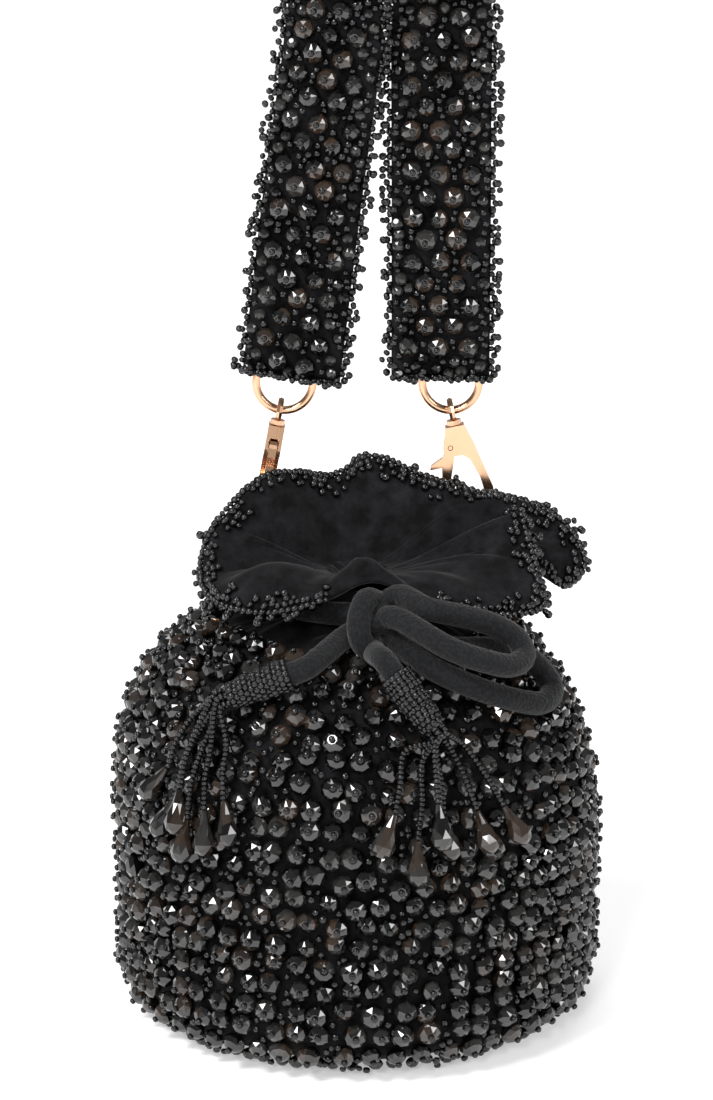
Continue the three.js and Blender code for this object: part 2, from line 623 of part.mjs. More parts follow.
PLACES.forEach((place, i) => {
  const side = i ? 'right' : 'left';
  put(`bag_tab_${side}`, bagTab(place), VELVET);
  put(`d_ring_${side}`, dRing(place), GOLD);
  put(`hook_${side}`, seat(hookBody(), place), GOLD);
  put(`gate_${side}`, seat(gate(), place), GOLD);
  put(`gate_pin_${side}`, seat(gatePin(), place), GOLD);
  put(`swivel_eye_${side}`, swivelEye(place), GOLD);
  put(`strap_ring_${side}`, strapRing(RING_X[i]), GOLD);
  put(`strap_tab_${side}`, strapTab(RING_X[i]), VELVET);
});
put('strap_band', strapBand(), VELVET);
put('strap_beadwork', strapBeadwork(), GLASS);

export default group;
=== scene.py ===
"""Dresses the potli bag: velvet, glass beads, cords, tassels and metal, in the CAD frame."""

import math

import bpy
import numpy as np
from mathutils import Matrix, Vector
from mathutils.kdtree import KDTree


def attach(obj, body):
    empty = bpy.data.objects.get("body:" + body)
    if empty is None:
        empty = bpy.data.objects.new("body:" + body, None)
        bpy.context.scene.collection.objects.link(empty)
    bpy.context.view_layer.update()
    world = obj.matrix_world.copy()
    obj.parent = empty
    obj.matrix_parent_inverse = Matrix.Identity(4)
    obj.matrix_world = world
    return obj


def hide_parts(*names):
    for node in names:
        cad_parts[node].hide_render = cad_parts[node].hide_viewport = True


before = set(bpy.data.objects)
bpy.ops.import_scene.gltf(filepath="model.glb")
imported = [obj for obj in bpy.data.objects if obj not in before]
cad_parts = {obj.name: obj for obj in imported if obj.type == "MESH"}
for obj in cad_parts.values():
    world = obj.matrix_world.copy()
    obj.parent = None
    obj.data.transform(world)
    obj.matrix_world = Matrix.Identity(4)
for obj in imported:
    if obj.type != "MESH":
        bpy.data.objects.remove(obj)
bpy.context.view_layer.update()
rng = np.random.default_rng(7)

# Driving dimensions in millimetres. They follow the part, but the collar's folds are deeper here.
MM = 0.001
BAG_RADIUS, CORNER, SIDE_HEIGHT, SIDE_DROP = 70, 14, 78, 16
NECK_RADIUS, NECK_HEIGHT, NECK_TOP = 22.5, 125.5, 137
FLUTE, FLUTES, FLOOR_Z, CLOTH = 2, 7, 2.8, 2
BEAD_FROM, BEAD_TO, LARGE_FROM = 0.36, 2.72, 0.62
LIFT_TOP = 5
THROAT, FOLDS, FOLD_DEPTH, RIPPLE = 10, 14, 2.6, 0.9
COLLAR_FOOT, COLLAR_RISE, COLLAR_CLOTH = 0.5, 3.3, 1.8
CORD, STRAND, CAP_LENGTH = 7, 2, 19
DROP_LENGTH, DROP_RADIUS = 13.5, 3.4
LINK_Y, RING_RADIUS, RING_WIRE, RING_Z = 24, 8.7, 2.6, 191
RING_X = (-22.2, 29)
STRAP_WIDTH, STRAP_Y, STRAP_FOOT = 30, 19.3, 194
ARCH_X, ARCH_Z, ARCH_RADIUS = 10, 358, 17
STRAP_CLOTH = 2
LARGE, MEDIUM, SEED = 7.2, 4.4, 2.2
LARGE_GAP, LARGE_ROW, LARGE_JITTER = 7.7, 6.9, 0.2
ROOM = 0.43         # room round a filling bead, as a share of its size
LEAN = 0.12         # how far the large beads tilt
STOP_LIFT = 0.5     # a stop bead's middle above the top of its large bead
PICOT_GAP = 1.9
KNOT_RADIUS, KNOT_HALF = 6.5, 7.8
BASE_RADIUS, BASE_TOP = 55, 2.5
TAIL_IN_CAP, STRAND_IN_CAP, STRAND_SPREAD = 18, 8, 2.4
REST_GAP = 0.6      # between the beads and what lies on them


# Curves and surfaces shared with the part

def unit(v):
    v = np.asarray(v, float)
    return v / np.linalg.norm(v, axis=-1, keepdims=True)


def spline(points, t, closed=False):
    """Centripetal Catmull-Rom curve through points, at t from 0 to 1."""
    p = np.asarray(points, float)
    n = len(p)
    at = np.asarray(t, float) * (n if closed else n - 1)
    i = np.floor(at).astype(int)
    if closed:
        ring = [p[(i + k) % n] for k in (-1, 0, 1, 2)]
    else:
        i = np.clip(i, 0, n - 2)
        line = np.vstack([2 * p[0] - p[1], p, 2 * p[-1] - p[-2]])
        ring = [line[i + k] for k in range(4)]
    w = (at - np.floor(at) if closed else at - i)[..., None]
    p0, p1, p2, p3 = ring
    d0, d1, d2 = (np.linalg.norm(b - a, axis=-1, keepdims=True) ** 0.5
                  for a, b in ((p0, p1), (p1, p2), (p2, p3)))
    m1 = ((p1 - p0) / d0 - (p2 - p0) / (d0 + d1) + (p2 - p1) / d1) * d1
    m2 = ((p2 - p1) / d1 - (p3 - p1) / (d1 + d2) + (p3 - p2) / d2) * d1
    return (p1 + m1 * w + (3 * (p2 - p1) - 2 * m1 - m2) * w ** 2
            + (2 * (p1 - p2) + m1 + m2) * w ** 3)


def even(points, step, closed=False):
    """Points along the curve at even steps, and its length."""
    fine = spline(points, np.linspace(0, 1, 60 * len(points) + 1) % (1 if closed else 2), closed)
    gaps = np.linalg.norm(np.diff(fine, axis=0), axis=1)
    s = np.concatenate([[0], np.cumsum(gaps)])
    count = max(2, round(s[-1] / step))
    where = np.linspace(0, s[-1], count + 1)
    return np.stack([np.interp(where, s, fine[:, k]) for k in range(3)], 1), s[-1]


def pouch(angle, v, lift=0.0):
    """Pouch surface: angle from the front, v from the base edge (0) to the neck's top (4)."""
    angle, v, lift = np.broadcast_arrays(np.asarray(angle, float), np.asarray(v, float),
                                         np.asarray(lift, float))
    top = SIDE_HEIGHT - SIDE_DROP * ((1 + np.sin(angle)) / 2) ** 2
    shoulder, rise = BAG_RADIUS - NECK_RADIUS, NECK_HEIGHT - top
    flute = FLUTE * np.cos(FLUTES * angle)
    part = np.clip(np.floor(v).astype(int), 0, 3)
    f = v - part
    s, c = np.sin(f * np.pi / 2), np.cos(f * np.pi / 2)
    one = np.ones_like(f)
    r = np.choose(part, [BAG_RADIUS - CORNER + CORNER * s, BAG_RADIUS * one,
                         NECK_RADIUS + shoulder * c, NECK_RADIUS * one])
    foot = FLOOR_Z + CORNER
    z = np.choose(part, [foot - CORNER * c, foot + (top - foot) * f,
                         top + rise * s + flute * f ** 4,
                         NECK_HEIGHT + flute + (NECK_TOP - NECK_HEIGHT - flute) * f])
    out = np.choose(part, [s, one, rise * c, one])
    up = np.choose(part, [-c, 0 * one, shoulder * s, 0 * one])
    size = np.hypot(out, up)
    wide = r + lift * out / size
    return np.stack([wide * np.sin(angle), -wide * np.cos(angle), z + lift * up / size], -1)


def pouch_normal(angle, v):
    return pouch(angle, v, 1) - pouch(angle, v, 0)


def on_pouch(*places):
    """Points from angle in degrees, v and lift."""
    return [pouch(math.radians(a), v, lift) for a, v, lift in places]


# Collar rim: angle from the front, then x, y and height above the neck's top
RIM = np.array([
    (0, 5, -26, 4), (25, 22, -33, -1), (45, 41, -32, -4), (60, 55, -24, -3), (72, 52, -14, 9),
    (80, 49, -6, 20), (88, 55, -3, 5), (96, 63, 0, -4), (104, 69, 5, 2), (114, 62, 12, 13),
    (126, 47, 14, 20), (142, 34, 13, 22), (160, 19, 20, 25), (180, 5, 25, 29.5),
    (200, -8, 22, 24), (222, -18, 16, 26.5), (244, -28, 8, 27), (258, -38, 2, 20),
    (270, -45, -4, 10), (284, -46, -14, 1), (300, -38, -29, -2), (318, -24, -34, -2.5),
    (340, -8, -31, 0.5)], float)


def collar_point(p, t):
    """Collar cloth: p round the rim from 0 to 1, t from the throat to the rim."""
    p, t = np.broadcast_arrays(np.asarray(p, float) % 1, np.asarray(t, float))
    angle = np.radians(np.interp(p * len(RIM), np.arange(len(RIM) + 1), [*RIM[:, 0], 360]))
    rim = spline(RIM[:, 1:] + (0, 0, NECK_TOP), p, closed=True)
    foot = np.stack([THROAT * np.sin(angle), -THROAT * np.cos(angle),
                     np.full_like(p, NECK_TOP + COLLAR_FOOT)], -1)
    middle = foot + 0.55 * (rim - foot)
    middle[..., 2] = NECK_TOP + COLLAR_RISE + 0.22 * np.maximum(0, rim[..., 2] - NECK_TOP)
    w = t[..., None]
    point = foot * (1 - w) ** 2 + middle * 2 * w * (1 - w) + rim * w ** 2
    turn = 2 * np.pi * p
    ripple = RIPPLE * t * (1 + np.cos(FOLDS * turn))
    folds = 1.6 + np.cos(7 * turn + 1.2 * np.sin(2 * turn)) + 0.6 * np.cos(11 * turn + 2)
    fine = 0.25 * np.sin(37 * turn + 3 * np.sin(5 * turn))
    point[..., 2] += np.sin(np.pi * t) * (ripple + FOLD_DEPTH * t ** 0.5 * folds + fine)
    return point


def throat_point(p, t):
    """Gathered cloth drawn in by the cord below the collar: t from the inside (0) to the collar (1)."""
    edge = collar_point(p, 0.0)
    pleat = np.cos(2 * np.pi * FOLDS * np.asarray(p)) + 0.6 * np.cos(2 * np.pi * 23 * np.asarray(p))
    edge[..., :2] *= (0.2 + 0.8 * t + 0.07 * pleat * (1 - t))[..., None]
    edge[..., 2] -= 7 * (1 - t) ** 1.5 - 0.6 * pleat * np.sin(np.pi * t)
    return edge


# Meshes

def add_object(name, data, body, material):
    """An object with one material, riding on a CAD body."""
    obj = bpy.data.objects.new(name, data)
    bpy.context.scene.collection.objects.link(obj)
    data.materials.append(material)
    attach(obj, body)
    return obj


def add_mesh(name, points, faces, material, body, smooth=True):
    """A mesh piece from points in millimetres, riding on a CAD body."""
    data = bpy.data.meshes.new(name)
    data.from_pydata((np.asarray(points, float) * MM).tolist(), [], [list(map(int, f)) for f in faces])
    data.update()
    data.polygons.foreach_set("use_smooth", [smooth] * len(data.polygons))
    return add_object(name, data, body, material)


def grid_faces(rows, columns, wrap_rows=False, wrap_columns=True):
    i, j = np.meshgrid(np.arange(rows if wrap_rows else rows - 1),
                       np.arange(columns if wrap_columns else columns - 1), indexing="ij")
    k, m = (i + 1) % rows, (j + 1) % columns
    quad = np.stack([i * columns + j, i * columns + m, k * columns + m, k * columns + j], -1)
    return quad.reshape(-1, 4)


def thicken(obj, thickness, offset=-1.0):
    """Gives a cloth surface its thickness, inwards (-1) or to both sides (0)."""
    change = obj.modifiers.new("cloth", "SOLIDIFY")
    change.thickness, change.offset, change.use_rim = thickness * MM, offset, True


def lathe(profile, sides, twist=0.5):
    """Faceted solid round +Z from (radius, height) pairs; a radius of 0 closes an end."""
    points, rings = [], []
    for k, (r, z) in enumerate(profile):
        if r == 0:
            rings.append([len(points)])
            points.append((0, 0, z))
            continue
        a = (np.arange(sides) + twist * (k % 2)) * 2 * np.pi / sides
        rings.append(list(range(len(points), len(points) + sides)))
        points.extend(np.stack([r * np.cos(a), r * np.sin(a), np.full(sides, z)], 1))
    faces = []
    for k, (low, high) in enumerate(zip(rings, rings[1:])):
        for j in range(sides):
            n = (j + 1) % sides
            if len(low) == 1:
                faces.append((low[0], high[n], high[j]))
            elif len(high) == 1:
                faces.append((low[j], low[n], high[0]))
            elif k % 2:
                faces += [(low[j], high[n], high[j]), (low[j], low[n], high[n])]
            else:
                faces += [(low[j], low[n], high[j]), (low[n], high[n], high[j])]
    return np.array(points, float), np.array(faces)


def frames_for(normals, spin=None):
    """Rotation matrices that turn +Z to each normal, with a spin about it."""
    z = unit(normals)
    helper = np.where(np.abs(z[:, 2:3]) < 0.9, [[0, 0, 1]], [[1, 0, 0]])
    x = unit(np.cross(helper, z))
    y = np.cross(z, x)
    if spin is not None:
        c, s = np.cos(spin)[:, None], np.sin(spin)[:, None]
        x, y = x * c + y * s, y * c - x * s
    return np.stack([x, y, z], -1)


def scatter(template, places, normals, scales):
    """Copies of a template at places, as one set of points and faces."""
    points, faces = template
    turn = frames_for(normals, rng.uniform(0, 2 * np.pi, len(places)))
    scales = np.asarray(scales, float).reshape(len(places), -1, 1)
    copies = np.einsum("bij,bnj->bni", turn, points[None] * scales) + np.asarray(places)[:, None]
    index = faces[None] + (np.arange(len(places)) * len(points))[:, None, None]
    return copies.reshape(-1, 3), index.reshape(-1, faces.shape[1])


def bead_mesh(name, template, places, normals, scales, material, body, smooth=False):
    """A piece made of many beads."""
    points, faces = scatter(template, np.asarray(places), np.asarray(normals), scales)
    data = bpy.data.meshes.new(name)
    data.vertices.add(len(points))
    data.vertices.foreach_set("co", (points * MM).ravel())
    data.loops.add(faces.size)
    data.loops.foreach_set("vertex_index", faces.ravel())
    data.polygons.add(len(faces))
    data.polygons.foreach_set("loop_start", np.arange(0, faces.size, faces.shape[1]))
    data.update(calc_edges=True)
    data.polygons.foreach_set("use_smooth", [smooth] * len(data.polygons))
    return add_object(name, data, body, material)


# Bead templates of diameter 1
FLAT = 0.36     # half height of a cut bead of diameter 1
CRYSTAL = lathe([(0, -FLAT), (0.2, -FLAT), (0.41, -0.2), (0.5, 0), (0.41, 0.2), (0.2, FLAT), (0, FLAT)], 9)
ROUND_SEED = lathe([(0, -0.3), (0.3, -0.36), (0.5, -0.14), (0.5, 0.14), (0.3, 0.36), (0, 0.3)], 7, 0)


# Materials

def principled(name, color, roughness, **sockets):
    material = bpy.data.materials.new(name)
    material.use_nodes = True
    shader = material.node_tree.nodes["Principled BSDF"]
    shader.inputs["Base Color"].default_value = (*color, 1)
    shader.inputs["Roughness"].default_value = roughness
    for key, value in sockets.items():
        shader.inputs[key.replace("_", " ")].default_value = value
    return material, material.node_tree, shader


def ramp(tree, source, stops):
    node = tree.nodes.new("ShaderNodeValToRGB")
    while len(node.color_ramp.elements) < len(stops):
        node.color_ramp.elements.new(0.5)
    for element, (place, color) in zip(node.color_ramp.elements, stops):
        element.position, element.color = place, (*color, 1)
    tree.links.new(source, node.inputs["Fac"])
    return node.outputs["Color"]


def texture(tree, kind, scale, **values):
    """A procedural texture on object coordinates, which are metres."""
    place = tree.nodes.new("ShaderNodeTexCoord")
    node = tree.nodes.new(kind)
    node.inputs["Scale"].default_value = scale
    for key, value in values.items():
        node.inputs[key].default_value = value
    tree.links.new(place.outputs["Object"], node.inputs["Vector"])
    return node


def bump(tree, shader, height, strength, distance):
    node = tree.nodes.new("ShaderNodeBump")
    node.inputs["Strength"].default_value = strength
    node.inputs["Distance"].default_value = distance
    tree.links.new(height, node.inputs["Height"])
    tree.links.new(node.outputs["Normal"], shader.inputs["Normal"])


def glass(name, cell, stops, roughness=0.035, ior=1.68):
    """Dark cut glass whose tint changes from bead to bead."""
    material, tree, shader = principled(name, (0.01, 0.01, 0.011), roughness, IOR=ior)
    cells = texture(tree, "ShaderNodeTexVoronoi", 1 / (cell * MM))
    part = tree.nodes.new("ShaderNodeSeparateColor")
    tree.links.new(cells.outputs["Color"], part.inputs["Color"])
    tree.links.new(ramp(tree, part.outputs["Red"], stops), shader.inputs["Base Color"])
    return material


def velvet(name, color, sheen):
    material, tree, shader = principled(name, color, 0.95, Sheen_Weight=sheen, Sheen_Roughness=0.35,
                                        Specular_IOR_Level=0.15)
    pile = texture(tree, "ShaderNodeTexNoise", 1400, Detail=3)
    bump(tree, shader, pile.outputs["Fac"], 0.4, 0.0005)
    # Soft patches from half to over three times the base colour: partly the pile's own uneven tone, partly
    # painted sheen for the grey of lit velvet.
    pile_tone_and_painted_sheen = texture(tree, "ShaderNodeTexNoise", 130, Detail=5, Roughness=0.7)
    tint = ramp(tree, pile_tone_and_painted_sheen.outputs["Fac"], [(0.38, [c * 0.5 for c in color]),
                                               (0.66, [c * 3.2 for c in color])])
    tree.links.new(tint, shader.inputs["Base Color"])
    return material


def knit(name, color):
    material, tree, shader = principled(name, color, 0.95, Sheen_Weight=0.11, Sheen_Roughness=0.5,
                                        Specular_IOR_Level=0.2)
    loops = texture(tree, "ShaderNodeTexVoronoi", 900)
    bump(tree, shader, loops.outputs["Distance"], 0.5, 0.0006)
    tint = ramp(tree, loops.outputs["Distance"], [(0.1, [c * 1.5 for c in color]),
                                                  (0.7, [c * 0.6 for c in color])])
    tree.links.new(tint, shader.inputs["Base Color"])
    return material


def metal(name, color, roughness):
    material, tree, shader = principled(name, color, roughness, Metallic=1.0)
    wear = texture(tree, "ShaderNodeTexNoise", 60, Detail=2)
    spread = tree.nodes.new("ShaderNodeMapRange")
    spread.inputs["To Min"].default_value = roughness * 0.8
    spread.inputs["To Max"].default_value = roughness * 1.25
    tree.links.new(wear.outputs["Fac"], spread.inputs["Value"])
    tree.links.new(spread.outputs["Result"], shader.inputs["Roughness"])
    return material


BLACK, SMOKE, BROWN = (0.002, 0.002, 0.0022), (0.02, 0.0195, 0.0185), (0.03, 0.019, 0.013)
CRYSTAL_GLASS = glass("crystal_glass", 8, [(0.3, BLACK), (0.62, SMOKE), (0.8, BROWN), (0.95, BLACK)])
JET_GLASS = glass("jet_glass", 5, [(0.3, BLACK), (0.8, SMOKE)], 0.07, 1.5)
SEED_GLASS = glass("seed_glass", 3, [(0.3, BLACK), (0.9, (0.006, 0.006, 0.007))], 0.14, 1.48)
RIM_GLASS = glass("rim_glass", 3, [(0.3, BLACK), (0.9, (0.008, 0.008, 0.009))], 0.08, 1.5)
DROP_GLASS = glass("drop_glass", 9, [(0.3, SMOKE), (0.6, BROWN), (0.9, BLACK)], 0.03, 1.6)
VELVET = velvet("black_velvet", (0.0035, 0.0035, 0.004), 0.1)
CORD_KNIT = knit("charcoal_knit", (0.0075, 0.0078, 0.0088))
GOLD = metal("rose_gold", (0.7, 0.43, 0.27), 0.22)
BOARD = principled("board", (0.18, 0.13, 0.08), 0.8)[0]


# Pouch

def build_pouch():
    rows, columns = np.concatenate([np.linspace(0.02, 2, 26), np.linspace(2.05, 4, 40)]), 168
    angle = np.linspace(0, 2 * np.pi, columns, endpoint=False)
    points = pouch(angle[None], rows[:, None])
    top, s = np.clip(rows - 2.3, 0, 0.7)[:, None], np.sin(angle * 33 + 2 * np.sin(5 * angle))
    points = points.reshape(-1, 3) - 0.6 * (top * s[None]).reshape(-1, 1) * pouch_normal(
        angle[None], np.minimum(rows, 2.99)[:, None]).reshape(-1, 3)
    middle = len(points)
    points = np.vstack([points, [[0, 0, FLOOR_Z]]])
    faces = [list(f) for f in grid_faces(len(rows), columns)]
    faces += [[middle, (j + 1) % columns, j] for j in range(columns)]
    wall = add_mesh("pouch_cloth", points, faces, VELVET, "bag")
    thicken(wall, CLOTH)
    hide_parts("body_wall")


def surface_steps(gap):
    """v at even steps up the beaded part of the pouch."""
    v = np.linspace(BEAD_FROM, BEAD_TO, 400)
    line = pouch(0.0, v)
    s = np.concatenate([[0], np.cumsum(np.linalg.norm(np.diff(line, axis=0), axis=1))])
    return np.interp(np.linspace(0, s[-1], round(s[-1] / gap) + 1), s, v)


class Field:
    """Beads placed so far, each with the room it takes up."""

    def __init__(self):
        self.places, self.rooms = [], []

    def free(self, point, room):
        near = self.tree.find_range(Vector(point), room + LARGE)
        return all(d > room + self.rooms[i] for _, i, d in near)

    def add(self, points, rooms):
        self.places.extend(points)
        self.rooms.extend(rooms)
        self.tree = KDTree(len(self.places))
        for i, p in enumerate(self.places):
            self.tree.insert(Vector(p), i)
        self.tree.balance()


def row_places(gap, row_gap, jitter):
    """Angle and v in jittered rows round the pouch."""
    places = []
    for v in surface_steps(row_gap)[1:]:
        radius = np.hypot(*pouch(0.0, v)[:2])
        count = max(10, int(2 * math.pi * radius / gap))
        phase = rng.uniform(0, 2 * np.pi)
        for j in range(count):
            angle = phase + (j + rng.uniform(-jitter, jitter)) * 2 * np.pi / count
            places.append((angle, np.clip(v + rng.uniform(-jitter, jitter) * 0.12, LARGE_FROM, BEAD_TO)))
    return np.array(places)


def leaning(normals, amount):
    return unit(normals + rng.normal(0, amount, normals.shape))


def build_body_beads():
    field = Field()
    large = row_places(LARGE_GAP, LARGE_ROW, LARGE_JITTER)
    points, normals = pouch(large[:, 0], large[:, 1]), pouch_normal(large[:, 0], large[:, 1])
    sizes = rng.uniform(0.86, 1.06, len(large)) * LARGE
    field.add(points, sizes / 2)
    lean = leaning(normals, LEAN)
    lift = 0.1 + FLAT * sizes[:, None]
    beads = bead_mesh("body_crystals", CRYSTAL, points + normals * lift, lean, sizes,
                      CRYSTAL_GLASS, "bag")
    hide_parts("body_beadwork")
    tops = points + normals * lift + lean * (FLAT * sizes[:, None] + STOP_LIFT)
    bead_mesh("body_stop_beads", ROUND_SEED, tops, lean, np.full(len(tops), SEED * 0.9),
              SEED_GLASS, "bag", True)
    fill = [("body_medium_beads", CRYSTAL, MEDIUM, JET_GLASS, 9000, 0.18, False),
            ("body_seed_beads", ROUND_SEED, SEED, SEED_GLASS, 40000, 0.35, True)]
    steps = np.linspace(BEAD_FROM, BEAD_TO + 0.04, 300)
    area = np.hypot(*np.moveaxis(pouch(0.0, steps)[..., :2], -1, 0))
    for name, template, size, material, tries, lean_by, smooth in fill:
        angle = rng.uniform(0, 2 * np.pi, tries)
        v = rng.choice(steps, tries, p=area / area.sum()) + rng.uniform(-0.004, 0.004, tries)
        candidates = pouch(angle, v)
        kept = keep_free(field, candidates, size * ROOM)
        spots, ways = candidates[kept], pouch_normal(angle[kept], v[kept])
        scale = rng.uniform(0.85, 1.1, len(kept)) * size
        height = 0.5 + FLAT * scale + rng.uniform(0.3, 3, len(kept)) * smooth
        bead_mesh(name, template, spots + ways * height[:, None], leaning(ways, lean_by), scale,
                  material, "bag", smooth)


def keep_free(field, candidates, room):
    """Indices of candidates that fit between the beads and one another."""
    kept, cells, cell = [], {}, 2 * room
    for i, p in enumerate(candidates):
        if not field.free(p, room):
            continue
        key = tuple(np.floor(p / cell).astype(int))
        around = [cells.get((key[0] + a, key[1] + b, key[2] + c), ())
                  for a in (-1, 0, 1) for b in (-1, 0, 1) for c in (-1, 0, 1)]
        if all(np.linalg.norm(q - p) > 2 * room for group in around for q in group):
            cells.setdefault(key, []).append(p)
            kept.append(i)
    field.add([candidates[i] for i in kept], [room] * len(kept))
    return np.array(kept)


def build_base():
    points, faces = lathe([(0, 0), (BASE_RADIUS - 1.5, 0), (BASE_RADIUS, 1.2), (BASE_RADIUS, BASE_TOP),
                           (0, BASE_TOP)], 120, 0)
    panel = add_mesh("base_cloth", points, faces, VELVET, "bag", False)
    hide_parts("base_panel")
    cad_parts["base_board"].data.materials.clear()
    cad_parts["base_board"].data.materials.append(BOARD)


# Collar

def build_collar():
    rows, inner, columns = 26, 10, FOLDS * 28
    p, t = np.arange(columns) / columns, np.linspace(0, 1, rows)
    down = np.linspace(0, 1, inner, endpoint=False)[:, None] + 0 * p[None]
    points = np.vstack([throat_point(p[None] + 0 * down, down), collar_point(p[None], t[:, None])])
    cloth = add_mesh("collar_cloth", points.reshape(-1, 3), grid_faces(rows + inner, columns), VELVET, "bag")
    thicken(cloth, COLLAR_CLOTH, 0)
    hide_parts("collar")
    _, length = even(collar_point(np.linspace(0, 1, 200, endpoint=False), 1.0), PICOT_GAP, closed=True)
    beads = build_picots()
    reach = float(np.mean(np.linalg.norm(np.diff(collar_point(p[None, ::4], t[:, None]), axis=0),
                                         axis=-1).sum(0)))


def build_picots():
    """Seed beads along the rim, with loose rows on the cloth and points standing out."""
    p = np.linspace(0, 1, 2400, endpoint=False)
    rim = collar_point(p, 1.0)
    s = np.concatenate([[0], np.cumsum(np.linalg.norm(np.diff(rim, axis=0), axis=1))])
    count = int(s[-1] / PICOT_GAP)
    where = np.interp(np.arange(count) * s[-1] / count, s, p)
    where = where[(where > 0.05) & (where < 0.955)]     # none in front, where the knot lies
    count = len(where)
    at = collar_point(where, 1.0)
    out = unit(at - collar_point(where, 0.96))
    along = unit(collar_point(where + 0.002, 1.0) - collar_point(where - 0.002, 1.0))
    side = np.cross(out, along)
    side *= np.sign(side[:, 2:3])
    chance = rng.random(count) + ((where > 0.62) & (where < 0.76))     # none towards the left clip
    places = [at + out * 0.9 + side * 0.6]
    for row, share in ((-1.2, 0.7), (-3.2, 0.4), (-5.2, 0.18), (2.5, 0.34), (4.1, 0.14)):
        turn = (chance if row > 0 else rng.random(count)) < share
        shift = out * (row + rng.normal(0, 0.25, (count, 1))) + along * rng.normal(0, 0.4, (count, 1))
        raised = 1.7 if row < 0 else rng.normal(0, 0.4, (count, 1))
        places.append((at + shift + side * raised)[turn])
    spots = np.vstack(places)
    ways = leaning(np.vstack([along, along, out])[rng.integers(0, 3 * count, len(spots))], 0.4)
    beads = bead_mesh("collar_picots", ROUND_SEED, spots, ways, rng.uniform(0.9, 1.35, len(spots)) * SEED,
                      RIM_GLASS, "bag", True)
    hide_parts("collar_beads")
    return beads


# Drawstring

KNOT = np.array([5.4, -37.4, 132])


def near_knot(x, y, z):
    return KNOT + (x, y, z)


def add_cord(name, points):
    """A round cord as one open curve, and its length."""
    data = bpy.data.curves.new(name, "CURVE")
    data.dimensions, data.bevel_depth, data.bevel_resolution = "3D", CORD / 2 * MM, 6
    data.use_fill_caps = True
    line, length = even(points, 1.6)
    track = data.splines.new("POLY")
    track.points.add(len(line) - 1)
    track.points.foreach_set("co", np.column_stack([line * MM, np.ones(len(line))]).ravel())
    track.use_smooth = True
    return add_object(name, data, "bag", CORD_KNIT), length


def torus(ring, wire, around=64, across=20):
    a = np.linspace(0, 2 * np.pi, around, endpoint=False)[:, None]
    b = np.linspace(0, 2 * np.pi, across, endpoint=False)[None]
    wide = ring + wire * np.cos(b)
    points = np.stack([wide * np.cos(a), wide * np.sin(a), wire * np.sin(b) + 0 * a], -1)
    return points.reshape(-1, 3), grid_faces(around, across, wrap_rows=True)


def merged(*parts):
    points, faces, at = [], [], 0
    for p, f in parts:
        points.append(p)
        faces += [[int(i) + at for i in face] for face in f]
        at += len(p)
    return np.vstack(points), faces


def turned(part, *turns):
    """Points and faces turned about axes, in degrees."""
    points, faces = part
    for axis, degrees in turns:
        points = points @ np.array(Matrix.Rotation(math.radians(degrees), 3, axis)).T
    return points, faces


def build_drawstring():
    ring = torus(NECK_RADIUS + 0.3 + CORD / 2, CORD / 2, 96)
    neck = add_mesh("neck_drawstring", ring[0] + (0, 0, NECK_TOP - CORD / 2 - 2.2), ring[1], CORD_KNIT, "bag")
    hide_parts("neck_cord")
    ball = [(KNOT_RADIUS * math.cos(a), KNOT_HALF * math.sin(a)) for a in np.linspace(-1.3, 1.3, 14)]
    core = lathe([(0, -KNOT_HALF)] + ball + [(0, KNOT_HALF)], 40, 0)
    wrap = turned(torus(5.2, 2.8), ("X", -12), ("Y", 18))
    second = turned(torus(4.7, 2.7), ("X", 38), ("Y", -20))
    points, faces = merged(core, wrap, second)
    knot = add_mesh("bow_knot", points + KNOT, faces, CORD_KNIT, "bag")
    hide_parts("knot")
    add_cord("bow_knot_band", [near_knot(*p) for p in (
        (1, 2, 5.5), (-2.5, -2.5, 7.6), (-4.6, -6.6, 3.6), (-4.4, -8.6, -2), (-1.4, -7.2, -7),
        (2.5, -2, -6.5))])
    loops = {
        "bow_loop_inner": [near_knot(2, 0.2, 3.5), near_knot(6.5, 0.6, 7.9), *on_pouch(
            (24.3, 2.74, 20.5), (33.7, 2.71, 19.5), (43, 2.66, 19), (47.9, 2.6, 19), (46.7, 2.55, 19),
            (41, 2.53, 19.5), (34, 2.55, 20), (25.3, 2.6, 20)),
            near_knot(5.3, -7, 3.6), near_knot(1.6, -2.2, 1)],
        "bow_loop_outer": [near_knot(2, -1.5, -1.5), near_knot(6.3, -4.8, -4.8), *on_pouch(
            (22, 2.6, 10.8), (32, 2.53, 10), (42.5, 2.47, 9.8), (54.3, 2.43, 9.8), (61.5, 2.46, 9.8),
            (60, 2.55, 10.2), (48, 2.63, 9.8), (32, 2.68, 9.6)),
            near_knot(9.5, 2, -1.1), near_knot(3, 0.8, 0)],
    }
    for node, points in loops.items():
        obj, length = add_cord(node + "_cord", points)
        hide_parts(node)


# Tassels
CAP_LEFT = on_pouch((-19, 2.56, 10.3), (-32, 2.46, 10.3))
CAP_RIGHT = on_pouch((10.5, 2.56, 12.8), (16.8, 2.44, 10.8))
REST = LIFT_TOP + STRAND / 2 + REST_GAP
LEFT_STRANDS = [
    [(-44, 2.37), (-47, 2.26), (-47.4, 2.17), (-53.5, 2.03)],
    [(-41, 2.3), (-43, 2.19), (-44.3, 2.07), (-48.5, 1.89)],
    [(-38.2, 2.28), (-39.6, 2.15), (-40, 2.02), (-41, 1.8)],
    [(-35.9, 2.28, 0.5), (-36, 2.17), (-35.4, 2.07), (-34.2, 1.87)],
    [(-32.2, 2.3), (-31.6, 2.2), (-30.6, 2.12), (-27.5, 1.95)],
    [(-37.2, 2.31, 7), (-38, 2.21, 7.6), (-38, 2.14, 7.6), (-37.6, 1.99, 7.6)],
]
